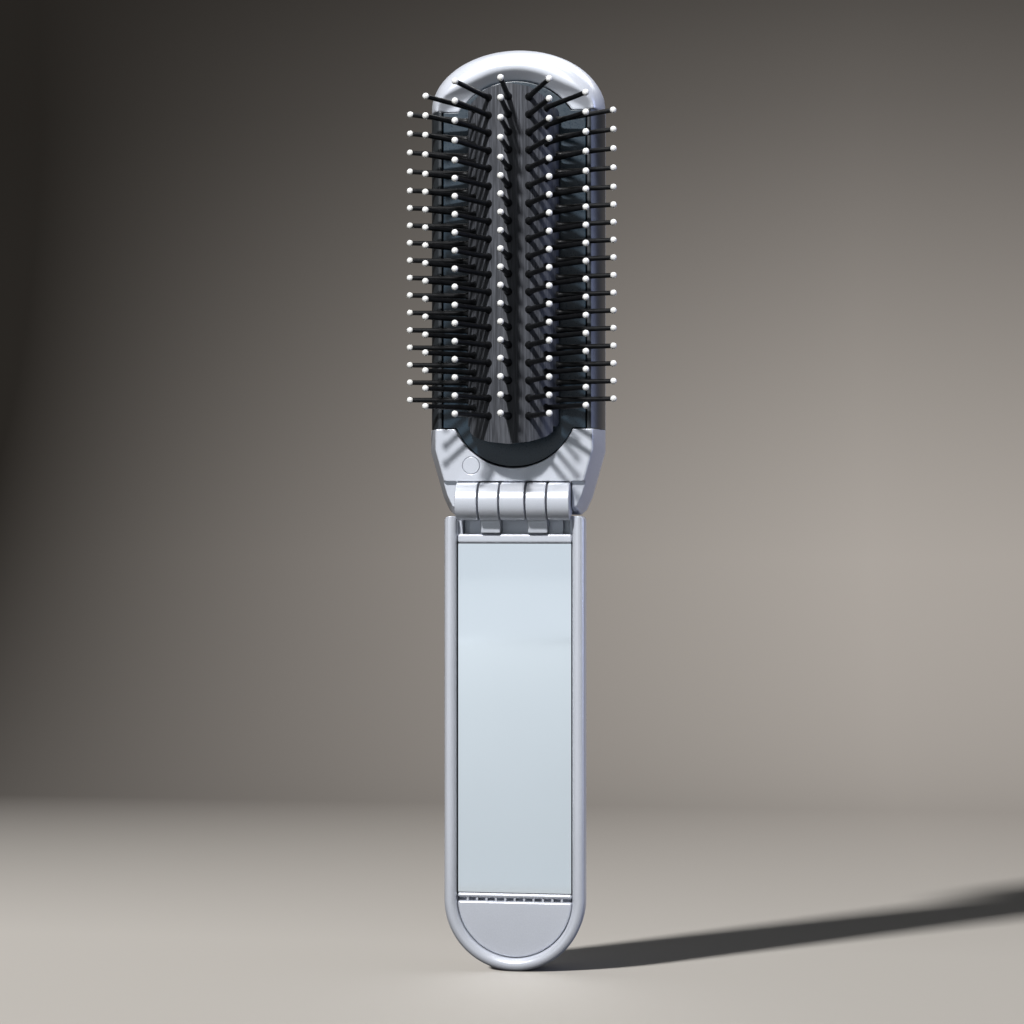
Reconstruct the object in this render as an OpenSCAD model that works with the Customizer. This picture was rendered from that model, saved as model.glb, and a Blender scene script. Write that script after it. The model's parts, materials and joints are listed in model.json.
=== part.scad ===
// Folding hairbrush with mirror: two half shells on a cross hinge.
// The lower half holds the mirror and is the grip. The upper half is a tub with a
// pop-up bed of seven staves that arches into a half-round brush when it is open.
// Millimetres. Z runs along the open brush, the bristles and the mirror face -Y.

/* [Handle] */
// From the hinge axis to the far end of the handle
handle_len = 103; // [90:1:115]
// Width of the handle over its sides
handle_w = 31; // [30:0.5:33]
// Thickness of the handle shell
handle_d = 8.5; // [7.5:0.5:12]
// Width of the rounded rim round the mirror
rim_w = 2.7; // [2:0.1:3.2]
// Thickness of the handle's back wall
handle_back_wall = 1.8; // [1.5:0.1:2.2]
// Radius of the handle's back edges
handle_back_r = 3; // [1:0.5:4]
// Gap from the hinge axis down to the tops of the handle rails
rail_drop = 3.2; // [2.9:0.1:4]
// Height of the open trough below the rail tops
trough_len = 3.9; // [3.6:0.1:6]
// Height of the bar above the mirror
top_bar_h = 2; // [1:0.1:4]
// Height of the thumb plate below the mirror, from the shell's end
thumb_plate_len = 15.1; // [12:0.1:20]
// Height of the bar between mirror and thumb plate
low_bar_h = 1.1; // [0.8:0.1:2]
// Width of the groove between the low bar and the thumb plate
groove_h = 0.7; // [0.4:0.1:1]

/* [Mirror] */
// How far the mirror face lies below the rim
mirror_sink = 1.8; // [1.7:0.1:2.2]
// How far the bars and the thumb plate lie below the rim
bar_sink = 1.6; // [1.5:0.1:1.7]
// Thickness of the mirror glass
glass_t = 1.4; // [1:0.1:1.8]
// Thickness of the sticky pad behind the glass
tape_t = 0.4; // [0.2:0.1:0.6]
// Thickness of the frame's base plate
frame_t = 0.8; // [0.6:0.1:1]

/* [Hinge] */
// Outer diameter of the hinge barrel
barrel_d = 8.3; // [7.8:0.1:8.6]
// Diameter of the steel hinge pin
hinge_pin_d = 2.4; // [1.8:0.1:3]
// Width of the middle knuckle
knuckle_mid_w = 5.4; // [4.5:0.1:6]
// Width of each of the two handle knuckles
knuckle_leaf_w = 4.3; // [3.8:0.1:4.6]
// Width of each of the two outer head knuckles
knuckle_end_w = 4.8; // [4:0.1:5]
// Gap between neighbouring knuckles
knuckle_gap = 0.35; // [0.2:0.05:0.5]
// Radial running clearance of the handle knuckles on the pin
pin_fit = 0.05; // [0.03:0.01:0.1]
// Width of the leaf plate that the handle screws clamp
leaf_w = 21; // [18:0.5:22.5]
// Length of the leaf plate
leaf_len = 18; // [16:1:30]

/* [Head] */
// From the hinge axis to the top of the head
head_len = 100.3; // [88:0.1:115]
// Greatest width of the head
head_w = 38.8; // [38.4:0.1:42]
// Depth of the head from its front plane to its back
head_d = 18.9; // [18.8:0.1:22]
// How far the shoulders round in from the greatest width
shoulder_w = 4.4; // [3:0.1:4.6]
// From the hinge axis up to the black section
block_rise = 15.9; // [15:0.1:18]
// Length of the silver end cap
cap_len = 14.4; // [13.9:0.1:18]
// Height of the head's rounded end
end_round = 13.4; // [12.5:0.1:14]
// Half the inner width of the tub
tub_half_w = 16; // [15.9:0.05:16.4]
// Thickness of the tub's back wall
tub_floor_t = 1.6; // [1.2:0.1:1.6]
// Radius of the cap's scooped inner edge
cap_r = 15.2; // [14.6:0.1:15.6]
// From the top of the head down to the top of that scoop
bead_w = 7.8; // [7.6:0.1:8]
// Width of the slope that the cap rolls in by
roll_w = 2.2; // [1.5:0.1:2.6]
// Depth of that slope
roll_d = 2.6; // [2:0.1:3]
// Radius of the scooped edge in the hinge block
scoop_r = 14.2; // [13.8:0.1:14.4]
// From the hinge axis to the bottom of the scoop
scoop_rise = 7.4; // [7.2:0.1:8]
// Width of the flat that the block's sides slope back from
block_slope_w = 2.3; // [1.5:0.1:3]

/* [Bristle bed] */
// Outer radius of the arched bed
dome_r = 10; // [9.9:0.05:10.1]
// Angle that each stave spans
stave_turn = 26; // [25:0.5:26]
// Thickness of a stave
stave_t = 1.4; // [1:0.1:1.5]
// Height of the arched bed's crest above the hinge plane
crest_rise = 9.5; // [9.3:0.1:9.8]
// Length of a bristle pin to the centre of its tip
bristle_len = 12.7; // [10:0.1:12.7]
// Diameter of a bristle pin
bristle_d = 1.15; // [0.8:0.05:1.3]
// Diameter of the ball tip
tip_d = 1.65; // [1.3:0.05:1.8]
// Spacing of the bristle pins along a row
bristle_pitch = 3.8; // [3.4:0.05:4.6]
// Upward lean added to each of the last pins towards the top
top_lean = 1.5; // [0:0.1:1.6]
// Angle by which the pins of the second rows from the edge turn in
row_tilt = 5; // [0:0.5:5]
// From the bottom of the block's scoop up to the bed's lower end
bed_low_gap = 4.9; // [4.9:0.1:8]
// From the bed's upper end up to the top of the cap's scoop
bed_top_gap = 2.9; // [2.9:0.1:6]
// Length of the bed that stays free of pins, both ends together
bed_free_len = 8.5; // [6:0.5:16]
// How far the middle of the rows lies above the middle of the bed
rows_shift = 1.55; // [1:0.05:1.6]

/* [Lift tray] */
// How far the tray lies below the hinge plane when the brush is open
tray_sink = 1.4; // [1.2:0.1:1.4]
// Thickness of the tray's plate
tray_t = 1.2; // [0.8:0.1:1.3]
// Depth of the skirt round the tray
skirt_d = 1.3; // [0.8:0.1:1.3]
// Thickness of the skirt
skirt_t = 1.2; // [0.8:0.1:2]
// Side clearance of the tray in the tub
tray_fit = 0.25; // [0.15:0.05:0.3]
// Width of each stop tab on the tray
tab_w = 4; // [3:0.5:6]
// From the black section's lower end up to the lower stop tabs
tab_low_rise = 14.1; // [10:0.1:20]
// From the black section's upper end down to the upper stop tabs
tab_top_drop = 10.9; // [6:0.1:20]

/* [Springs and screws] */
// Diameter of a lift spring at its foot
spring_foot_d = 12; // [10:0.5:14]
// Diameter of a lift spring at its top
spring_top_d = 5; // [4:0.5:6]
// Wire of a lift spring
spring_wire = 0.6; // [0.4:0.05:0.8]
// Turns of a lift spring
spring_turns = 5; // [3:1:6]
// From the black section's lower end up to the middle of the lower spring
spring_low_rise = 11.1; // [8:0.1:20]
// From the black section's upper end down to the middle of the upper spring
spring_top_drop = 7.9; // [5:0.1:20]
// Diameter of a screw's shank
screw_d = 2; // [1.6:0.1:2.2]
// Diameter of a screw's head
screw_head_d = 3.6; // [3:0.1:3.8]
// Height of a screw's head
screw_head_h = 1; // [0.8:0.1:1.1]
// Diameter of the plug over the block screw
plug_d = 3.8; // [3.6:0.1:4]
// Thickness of that plug
plug_t = 0.8; // [0.5:0.1:1.2]

/* [Hidden] */
$fn = 48;

silver = [0.78, 0.79, 0.83];
black = [0.11, 0.11, 0.12];
steel = [0.62, 0.63, 0.65];

// Clearances
face_gap = 0.1;      // the faces of both halves stay this far behind the hinge plane
slip = 0.15;         // loose fit of parts that drop into a shell
swing = 0.25;        // clearance round a turning knuckle
seat = 0.05;         // parts laid face to face
bore_fit = 0.1;      // screw shanks in the shells, on the radius
wide_fit = 0.3;      // screw shanks past the frame and the pad, on the radius
tab_fit = 0.3;       // stop tabs along their slots
eps = 0.01;

// Heights above the end of the handle
fold_z = handle_len;
rail_z = fold_z - rail_drop;
handle_r = handle_w / 2;
bar_top_z = rail_z - trough_len;
glass_top_z = bar_top_z - top_bar_h - slip;
glass_low_z = thumb_plate_len + groove_h + low_bar_h + slip;
block_low_z = rail_z + 2 * slip;
block_top_z = fold_z + block_rise;
head_top_z = fold_z + head_len;
cap_low_z = head_top_z - cap_len;
round_z = head_top_z - end_round;
cap_r_z = head_top_z - bead_w - cap_r;
scoop_low_z = fold_z + scoop_rise;
scoop_z = scoop_low_z + scoop_r;

// Depths behind the hinge plane
handle_floor_y = handle_d + face_gap - handle_back_wall;
glass_y = face_gap + mirror_sink;
tape_y = glass_y + glass_t;
frame_y = tape_y + tape_t;
leaf_y = frame_y + frame_t + seat;
leaf_back_y = handle_floor_y - seat;
bar_y = face_gap + bar_sink;
head_back_y = face_gap + head_d;
part_y = (face_gap + head_back_y) / 2;
tub_floor_y = head_back_y - tub_floor_t;
frame_top_y = 0.9;    // front of the black side rails
arch_y = 3.2;         // front of the arch that joins them
arch_t = 1.2;
screw_seat_t = 1.4;   // from the tub's floor to the seats of the back screws
screw_seat_y = tub_floor_y - screw_seat_t;

// Handle
pocket_half_w = handle_r - rim_w;
ledge_w = 1;
frame_half_w = pocket_half_w - slip;

// Hinge
barrel_r = barrel_d / 2;
leaf_x = knuckle_mid_w / 2 + knuckle_gap + knuckle_leaf_w / 2;
end_x = knuckle_mid_w / 2 + 2 * knuckle_gap + knuckle_leaf_w + knuckle_end_w / 2;
barrel_half_w = end_x + knuckle_end_w / 2;
ear_x = barrel_half_w + slip;
pin_end_wall = 0.8;   // left closed at the end of the hinge pin's bore
hinge_pin_half = barrel_half_w - pin_end_wall;
plate_low_z = fold_z + barrel_r + 2 * slip;
finger_y = 0.3;
finger_low_z = bar_top_z + slip;
neck_drop = 0.2;
neck_z = fold_z - hinge_pin_d / 2 - neck_drop;
leaf_drop = 0.4;
leaf_top_z = rail_z - leaf_drop;

// How far the head's sides stand in from its greatest width, against height
head_half_w = head_w / 2;
side_steps = [[5.3, 0], [4.2, 1], [2.9, 3.8], [0, 14]];
block_edge = 0.35;

// Bed
half_turn = stave_turn / 2;
stave_gap = 0.25;     // degrees left free at each seam
bristle_root = stave_t / 2;
dome_y = dome_r - crest_rise;
bed_low_z = scoop_low_z + bed_low_gap;
bed_top_z = head_top_z - bead_w - bed_top_gap;
bed_len = bed_top_z - bed_low_z;
rows_z = (bed_low_z + bed_top_z) / 2 + rows_shift;
bristle_count = floor((bed_len - bed_free_len) / bristle_pitch) + 1;
row_short = [0, 0, 1, 2];
bed_block_gap = 0.4;  // the outer staves spread clear above the block as the bed flattens
bed_low_step = [0, 0.5, 1.7, block_top_z + bed_block_gap - bed_low_z];
bed_top_step = [0, 0.6, 2.8, 4.2];
tip_neck = sqrt(pow(tip_d, 2) - pow(bristle_d, 2)) / 2;   // from a tip's centre to its pin's end
pin_len = bristle_len + bristle_root - tip_neck;

// Tray
tray_y = tray_sink;
tray_half_w = tub_half_w - tray_fit;
tab_reach = 1.1;
tab_x = tray_half_w + tab_reach;
tab_zs = [block_top_z + tab_low_rise, cap_low_z - tab_top_drop];
tab_t = 1.2;
tab_y = tray_y + tray_t + skirt_d - tab_t;

// Springs
spring_zs = [block_top_z + spring_low_rise, cap_low_z - spring_top_drop];
spring_y = tray_y + tray_t;
spring_h = tub_floor_y - spring_y;
spring_steps = 20;
spring_sides = 6;

// Screws
handle_screw_x = 6.5;
handle_screw_drop = 11;
handle_screw_z = bar_top_z - handle_screw_drop;
block_screw_x = -9.4;
block_screw_rise = 7.9;
block_screw_z = fold_z + block_screw_rise;
low_screw = [5, 3.5];     // out from the middle, up from the hinge axis
cap_screw = [8, 6];       // out from the middle, down from the top of the head
low_screw_bite = 3.8;     // how far a lower screw reaches into the block
cap_screw_tip = 0.9;      // from the front of the arch to the tip of a cap screw
low_screw_z = fold_z + low_screw[1];
cap_screw_z = head_top_z - cap_screw[1];
back_screws = [[-low_screw[0], low_screw_z], [low_screw[0], low_screw_z],
               [-cap_screw[0], cap_screw_z], [cap_screw[0], cap_screw_z]];
low_tip_y = part_y - low_screw_bite;
cap_tip_y = arch_y + cap_screw_tip;
back_screw_tip_y = [low_tip_y, low_tip_y, cap_tip_y, cap_tip_y];
sink_d = screw_head_d + 0.4;
thread_len = 4;

// The whole is shifted so that the origin is below the middle of its own box
y_shift = (crest_rise + bristle_len + tip_d / 2 - head_back_y) / 2;

module in_frame() { translate([0, y_shift, 0]) children(); }

function arc(c, r, a0, a1, n = 8) =
    [for (i = [0:n]) c + r * [cos(a0 + (a1 - a0) * i / n), sin(a0 + (a1 - a0) * i / n)]];
function flip(pts) = [for (i = [len(pts) - 1:-1:0]) [-pts[i][0], pts[i][1]]];
function oval(a, b, z, a0, a1, n) =
    [for (i = [0:n]) [a * cos(a0 + (a1 - a0) * i / n), z + b * sin(a0 + (a1 - a0) * i / n)]];

// A flat outline drawn in X and Z, made into a plate between two depths
module plate(y0, y1) {
    translate([0, y1, 0]) rotate([90, 0, 0]) linear_extrude(y1 - y0) children();
}

module box(x0, x1, y0, y1, z0, z1) {
    translate([x0, y0, z0]) cube([x1 - x0, y1 - y0, z1 - z0]);
}

// A round bar along X, centred on the hinge axis
module axle(x0, x1, r) {
    translate([x0, 0, fold_z]) rotate([0, 90, 0]) cylinder(h = x1 - x0, r = r);
}

// A round bar along Y from depth y0 to depth y1
module bolt(x, z, y0, y1, r) {
    translate([x, y0, z]) rotate([-90, 0, 0]) cylinder(h = y1 - y0, r = r);
}

// ---- Handle ----

// Half of the shell's section: radius or half width against depth
function shell_half() = concat(
    [[0, handle_floor_y + handle_back_wall]],
    [for (p = arc([handle_r - handle_back_r, handle_floor_y + handle_back_wall - handle_back_r],
                  handle_back_r, 90, 0)) p],
    [for (p = arc([handle_r - rim_w / 2, face_gap + rim_w / 2], rim_w / 2, 0, -180)) p],
    [[pocket_half_w, leaf_y], [pocket_half_w - ledge_w, leaf_y],
     [pocket_half_w - ledge_w, handle_floor_y], [0, handle_floor_y]]
);

module rail_ends() {
    round_r = 1.3;
    plate(-1, handle_d + 2) {
        hull() {
            translate([-handle_r - 1, -1]) square([handle_w + 2, 10]);
            for (s = [-1, 1]) translate([s * (handle_r - round_r), rail_z - round_r]) circle(r = round_r);
        }
    }
}

module handle_shell() {
    color(silver) in_frame() difference() {
        intersection() {
            union() {
                translate([0, 0, handle_r]) linear_extrude(rail_z - handle_r)
                    polygon(concat(shell_half(), flip(shell_half())));
                translate([0, 0, handle_r]) rotate([-90, 0, 0])
                    rotate_extrude(angle = 180) polygon(shell_half());
            }
            rail_ends();
        }
        for (s = [-1, 1]) {
            bolt(s * handle_screw_x, handle_screw_z, leaf_back_y, handle_d + 1, screw_d / 2 + bore_fit);
            bolt(s * handle_screw_x, handle_screw_z, handle_d - screw_head_h, handle_d + 1, sink_d / 2);
        }
    }
}

// Outline of what drops into the handle's pocket, between two heights
module pocket_outline(half_w, z_top) {
    translate([0, handle_r]) circle(r = half_w);
    translate([-half_w, handle_r]) square([2 * half_w, z_top - handle_r]);
}

module mirror_frame() {
    color(silver) in_frame() difference() {
        union() {
            plate(frame_y, frame_y + frame_t) pocket_outline(frame_half_w, bar_top_z);
            plate(bar_y, frame_y + eps) intersection() {
                pocket_outline(frame_half_w, bar_top_z);
                union() {
                    translate([-handle_r, bar_top_z - top_bar_h]) square([handle_w, top_bar_h]);
                    translate([-handle_r, thumb_plate_len + groove_h]) square([handle_w, low_bar_h]);
                    translate([-handle_r, 0]) square([handle_w, thumb_plate_len]);
                }
            }
        }
        for (s = [-1, 1])
            bolt(s * handle_screw_x, handle_screw_z, tape_y, leaf_y, screw_d / 2 + wide_fit);
    }
}

module mirror_tape() {
    inset = 1.5;
    color([0.85, 0.85, 0.8]) in_frame() difference() {
        box(-frame_half_w + inset, frame_half_w - inset, tape_y, frame_y,
            glass_low_z + inset, glass_top_z - inset);
        for (s = [-1, 1])
            bolt(s * handle_screw_x, handle_screw_z, tape_y - 1, frame_y + 1, screw_d / 2 + wide_fit);
    }
}

module mirror_glass() {
    color([0.75, 0.82, 0.86]) in_frame()
        box(-frame_half_w + slip, frame_half_w - slip, glass_y, tape_y, glass_low_z, glass_top_z);
}

// Section of a finger, in Y and Z: from the knuckle down into the trough
module finger_section() {
    polygon([
        [finger_y, fold_z - barrel_r + slip], [3 * finger_y, finger_low_z],
        [leaf_back_y, finger_low_z], [leaf_back_y, leaf_top_z],
        [barrel_r + slip, leaf_top_z], [barrel_r - swing, neck_z], [finger_y, neck_z]
    ]);
}

module hinge_leaf() {
    color(silver) in_frame() difference() {
        union() {
            for (s = [-1, 1]) {
                axle(s * leaf_x - knuckle_leaf_w / 2, s * leaf_x + knuckle_leaf_w / 2, barrel_r);
                translate([s * leaf_x - knuckle_leaf_w / 2, 0, 0]) rotate([90, 0, 90])
                    linear_extrude(knuckle_leaf_w) finger_section();
            }
            box(-leaf_w / 2, leaf_w / 2, leaf_y, leaf_back_y, leaf_top_z - leaf_len, leaf_top_z);
        }
        axle(-handle_w, handle_w, hinge_pin_d / 2 + pin_fit);
        for (s = [-1, 1]) bolt(s * handle_screw_x, handle_screw_z, leaf_y - 1, handle_d, screw_d / 2);
    }
}

module screw(x, z, head_y, tip_y) {
    bolt(x, z, tip_y, head_y - screw_head_h + eps, screw_d / 2 - eps);
    bolt(x, z, head_y - screw_head_h, head_y, screw_head_d / 2);
}

module handle_screws() {
    color(steel) in_frame()
        for (s = [-1, 1])
            screw(s * handle_screw_x, handle_screw_z, handle_d, tape_y + 2 * seat);
}

module hinge_pin() {
    color(steel) in_frame() axle(-hinge_pin_half, hinge_pin_half, hinge_pin_d / 2);
}

// ---- Head ----

function head_side() = [for (p = side_steps) [head_half_w - p[0], block_low_z + p[1]]];

module head_outline() {
    side = head_side();
    polygon(concat(side, oval(head_half_w, end_round, round_z, 0, 180, 40), flip(side)));
}

// The rounded form of the head between the parting line and one of its faces
module head_form(face_y, shoulder) {
    steps = 7;
    hull() for (i = [0:steps]) {
        a = 90 * i / steps;
        y = part_y + (face_y - part_y) * sin(a);
        inset = shoulder * (1 - cos(a));
        plate(y - eps / 2, y + eps / 2) offset(delta = -inset) head_outline();
    }
}

// The tub's opening, or what fits in it: straight sides with a scoop at each end
module tub_outline(half_w) {
    less = tub_half_w - half_w;
    translate([-half_w, block_top_z + less]) square([2 * half_w, cap_low_z - block_top_z - 2 * less]);
    intersection() {
        translate([0, scoop_z]) circle(r = scoop_r - less, $fn = 96);
        translate([-scoop_r, 0]) square([2 * scoop_r, block_top_z + scoop_r / 2]);
    }
    intersection() {
        translate([0, cap_r_z]) circle(r = cap_r - less, $fn = 96);
        translate([-2 * cap_r, cap_low_z - cap_r / 2]) square([4 * cap_r, 2 * cap_r]);
    }
}

module tub_space(y0, y1) { plate(y0, y1) tub_outline(tub_half_w); }

module tab_slots() {
    for (s = [-1, 1], z = tab_zs)
        box(s > 0 ? 0 : -tab_x - slip, s > 0 ? tab_x + slip : 0, tab_y - seat, tub_floor_y,
            z - tab_w / 2 - tab_fit, z + tab_w / 2 + tab_fit);
}

module hinge_block() {
    color(silver) in_frame() difference() {
        union() {
            difference() {
                intersection() {
                    hull() {
                        plate(part_y - block_slope_w, part_y) head_outline();
                        plate(face_gap + block_edge, face_gap + 1)
                            offset(delta = block_edge - block_slope_w) head_outline();
                        plate(face_gap, face_gap + 1) offset(delta = -block_slope_w) head_outline();
                    }
                    box(-head_w, head_w, 0, part_y, 0, block_top_z);
                }
                tub_space(-1, head_back_y);
                box(-ear_x, ear_x, -1, barrel_r + swing, 0, plate_low_z);
            }
            for (x = [-end_x, 0, end_x]) {
                w = x == 0 ? knuckle_mid_w : knuckle_end_w;
                axle(x - w / 2, x + w / 2, barrel_r);
                box(x - w / 2, x + w / 2, 4 * finger_y, barrel_r + swing + eps,
                    block_low_z, plate_low_z + eps);
            }
        }
        axle(-barrel_half_w - eps, hinge_pin_half + eps, hinge_pin_d / 2 + eps);
        bolt(block_screw_x, block_screw_z, -1, face_gap + plug_t, plug_d / 2);
        bolt(block_screw_x, block_screw_z, -1, face_gap + plug_t + screw_head_h, screw_head_d / 2);
        bolt(block_screw_x, block_screw_z, -1, head_d, screw_d / 2 + bore_fit);
        for (i = [0, 1])
            bolt(back_screws[i][0], back_screws[i][1], back_screw_tip_y[i] - seat, head_d, screw_d / 2);
    }
}

module head_back() {
    color(silver) in_frame() difference() {
        intersection() {
            head_form(head_back_y, shoulder_w);
            box(-head_w, head_w, part_y, head_d + 2, 0, head_top_z + 1);
        }
        tub_space(0, tub_floor_y);
        tab_slots();
        for (p = back_screws) {
            bolt(p[0], p[1], part_y - 1, head_d + 2, screw_d / 2 + bore_fit);
            bolt(p[0], p[1], screw_seat_y, head_d + 2, sink_d / 2);
        }
        bolt(block_screw_x, block_screw_z, part_y - 1, part_y + thread_len + seat, screw_d / 2);
    }
}

// The two side rails and the arch that joins them under the end cap
module bed_frame() {
    color(black) in_frame() difference() {
        union() {
            intersection() {
                head_form(face_gap, shoulder_w);
                box(-head_w, head_w, frame_top_y, part_y, block_top_z, cap_low_z);
            }
            arch(0, arch_y, part_y);
        }
        tub_space(-1, part_y + 1);
        tab_slots();
    }
}

// The room that the frame's arch takes up under the cap
module arch(gap, y0, y1) {
    plate(y0, y1) intersection() {
        tub_outline(tub_half_w + arch_t + gap);
        translate([-head_w, cap_low_z - eps]) square([2 * head_w, cap_len]);
    }
}

module end_cap() {
    color(silver) in_frame() difference() {
        intersection() {
            head_form(face_gap, shoulder_w);
            box(-head_w, head_w, 0, part_y, cap_low_z, head_top_z + 1);
        }
        tub_space(-1, part_y + 1);
        arch(seat, arch_y - seat, part_y + 1);
        hull() {
            plate(face_gap - 1, face_gap + eps) tub_outline(tub_half_w + roll_w);
            plate(face_gap + roll_d, face_gap + roll_d + eps) tub_outline(tub_half_w);
        }
        for (i = [2, 3])
            bolt(back_screws[i][0], back_screws[i][1], back_screw_tip_y[i] - seat, part_y + 1, screw_d / 2);
    }
}

module head_screws() {
    color(steel) in_frame()
        for (i = [0:3])
            screw(back_screws[i][0], back_screws[i][1], screw_seat_y + screw_head_h, back_screw_tip_y[i]);
}

module block_screw() {
    head_y = face_gap + plug_t;
    color(steel) in_frame() {
        bolt(block_screw_x, block_screw_z, head_y + seat, head_y + screw_head_h, screw_head_d / 2 - seat);
        bolt(block_screw_x, block_screw_z, head_y + screw_head_h - eps, part_y + thread_len,
             screw_d / 2 - eps);
    }
}

module screw_plug() {
    color(silver) in_frame()
        bolt(block_screw_x, block_screw_z, face_gap - seat, face_gap + plug_t, plug_d / 2 - seat);
}

// ---- Lift tray and springs ----

module lift_tray() {
    color(black) in_frame() {
        plate(tray_y, tray_y + tray_t) tub_outline(tray_half_w);
        plate(tray_y, tray_y + tray_t + skirt_d) difference() {
            tub_outline(tray_half_w);
            offset(delta = -skirt_t) tub_outline(tray_half_w);
        }
        for (s = [-1, 1], z = tab_zs)
            box(s > 0 ? tray_half_w - skirt_t : -tab_x, s > 0 ? tab_x : skirt_t - tray_half_w,
                tab_y, tab_y + tab_t, z - tab_w / 2, z + tab_w / 2);
    }
}

// One conical spring: rings of points carried round a rising spiral
module cone_spring() {
    n = spring_turns * spring_steps;
    rise = spring_h - spring_wire - 2 * seat;
    function centre(i) = let(t = i / n, r = (spring_foot_d * (1 - t) + spring_top_d * t - spring_wire) / 2,
                             a = 360 * spring_turns * t) [r * cos(a), r * sin(a), spring_wire / 2 + rise * t];
    function ring(i) = let(c = centre(i), a = 360 * i / spring_steps)
        [for (j = [0:spring_sides - 1]) let(b = 360 * j / spring_sides)
            c + spring_wire / 2 * [cos(b) * cos(a), cos(b) * sin(a), sin(b)]];
    points = [for (i = [0:n]) each ring(i)];
    sides = [for (i = [0:n - 1], j = [0:spring_sides - 1]) let(k = (j + 1) % spring_sides)
        [i * spring_sides + j, i * spring_sides + k, (i + 1) * spring_sides + k, (i + 1) * spring_sides + j]];
    polyhedron(points, concat(
        sides,
        [[for (j = [spring_sides - 1:-1:0]) j]],
        [[for (j = [0:spring_sides - 1]) n * spring_sides + j]]
    ));
}

module lift_springs() {
    color(steel) in_frame()
        for (z = spring_zs)
            translate([0, tub_floor_y - seat, z]) rotate([90, 0, 0]) cone_spring();
}

// ---- Bristle bed ----

// Place the children on the row that lies the given number of staves from the middle
module on_row(row) {
    translate([0, dome_y, 0]) rotate([0, 0, row * stave_turn]) children();
}

module stave(row) {
    k = abs(row);
    a0 = -90 - half_turn + stave_gap;
    a1 = -90 + half_turn - stave_gap;
    color(black) in_frame() on_row(row) {
        translate([0, 0, bed_low_z + bed_low_step[k]])
            linear_extrude(bed_len - bed_low_step[k] - bed_top_step[k]) intersection() {
                difference() {
                    circle(r = dome_r, $fn = 120);
                    circle(r = dome_r - stave_t, $fn = 120);
                }
                polygon([[0, 0], 2 * dome_r * [cos(a0), sin(a0)], 2 * dome_r * [cos(a1), sin(a1)]]);
            }
        bristles(row) cylinder(h = pin_len, d = bristle_d, $fn = 16);
    }
}

// Every pin of a row: children stand on the pin's root with Z along the pin
module bristles(row) {
    k = abs(row);
    n = bristle_count - row_short[k];
    for (i = [0:n - 1]) {
        z = rows_z + (i - (n - 1) / 2) * bristle_pitch;
        lean = max(0, i - (n - 5)) * top_lean;
        translate([0, bristle_root - dome_r, z])
            rotate([0, 0, k == 2 ? -sign(row) * row_tilt : 0]) rotate([90 - lean, 0, 0]) children();
    }
}

// The ball tips, each cut flat where it sits on the end of its pin
module tips(row) {
    color("white") in_frame() on_row(row)
        bristles(row) translate([0, 0, pin_len]) intersection() {
            translate([0, 0, tip_neck]) sphere(d = tip_d, $fn = 24);
            translate([-tip_d, -tip_d, 0]) cube(2 * tip_d);
        }
}

handle_shell();
mirror_frame();
mirror_tape();
mirror_glass();
hinge_leaf();
handle_screws();
hinge_pin();
hinge_block();
head_back();
bed_frame();
end_cap();
head_screws();
block_screw();
screw_plug();
lift_tray();
lift_springs();
stave(0);  // stave_mid
stave(-1);  // stave_left_1
stave(-2);  // stave_left_2
stave(-3);  // stave_left_3
stave(1);  // stave_right_1
stave(2);  // stave_right_2
stave(3);  // stave_right_3
tips(0);  // tips_mid
tips(-1);  // tips_left_1
tips(-2);  // tips_left_2
tips(-3);  // tips_left_3
tips(1);  // tips_right_1
tips(2);  // tips_right_2
tips(3);  // tips_right_3
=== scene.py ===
import json
import math

import bmesh
import bpy
from mathutils import Matrix, Vector


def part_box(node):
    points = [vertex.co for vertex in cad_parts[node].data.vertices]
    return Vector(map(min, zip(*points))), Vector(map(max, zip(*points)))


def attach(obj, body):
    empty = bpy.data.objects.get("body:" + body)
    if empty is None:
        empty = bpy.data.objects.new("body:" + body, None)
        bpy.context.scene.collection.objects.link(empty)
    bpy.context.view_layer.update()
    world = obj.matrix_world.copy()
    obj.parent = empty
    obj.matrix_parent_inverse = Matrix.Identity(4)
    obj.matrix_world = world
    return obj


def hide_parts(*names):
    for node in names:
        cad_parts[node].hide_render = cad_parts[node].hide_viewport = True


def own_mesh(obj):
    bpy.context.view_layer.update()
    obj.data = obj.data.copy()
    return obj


bl_info = {
    "name": "Folding mirror hairbrush",
    "version": (1, 0, 0),
    "blender": (4, 5, 0),
    "location": "View3D > Sidebar > Hairbrush",
    "description": "Dresses the folding hairbrush with mirror, piece by piece, on its solid frame",
    "category": "Object",
}

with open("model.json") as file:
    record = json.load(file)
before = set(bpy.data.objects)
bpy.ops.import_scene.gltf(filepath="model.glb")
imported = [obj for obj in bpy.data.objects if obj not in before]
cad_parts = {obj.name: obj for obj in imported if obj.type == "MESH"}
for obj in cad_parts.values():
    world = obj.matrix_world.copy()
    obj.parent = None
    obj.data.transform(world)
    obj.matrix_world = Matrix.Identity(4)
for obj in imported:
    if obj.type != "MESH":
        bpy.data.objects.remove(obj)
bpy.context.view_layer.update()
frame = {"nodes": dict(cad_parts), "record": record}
NODES = frame["nodes"]
BODY_OF = {
    node: body
    for body, nodes in frame["record"]["behaviour"]["bodies"].items()
    for node in nodes
}

# A point on the hinge's axis, in metres
FOLD = Vector(next(
    joint["pos_m"] for joint in frame["record"]["behaviour"]["joints"] if joint["name"] == "fold"
))

# The bed's rows, counted from the middle, and the pins in a row at each distance from it
ROWS = (-3, -2, -1, 0, 1, 2, 3)
PINS = (19, 19, 18, 17)
ROW_RISE = 0.00155  # from the middle of a stave's length up to the middle of its row
NECK = 0.36  # from a ball's centre down to its pin's end, as a share of the ball's width
WELD = 0.000002  # vertices closer than this are made one


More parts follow.
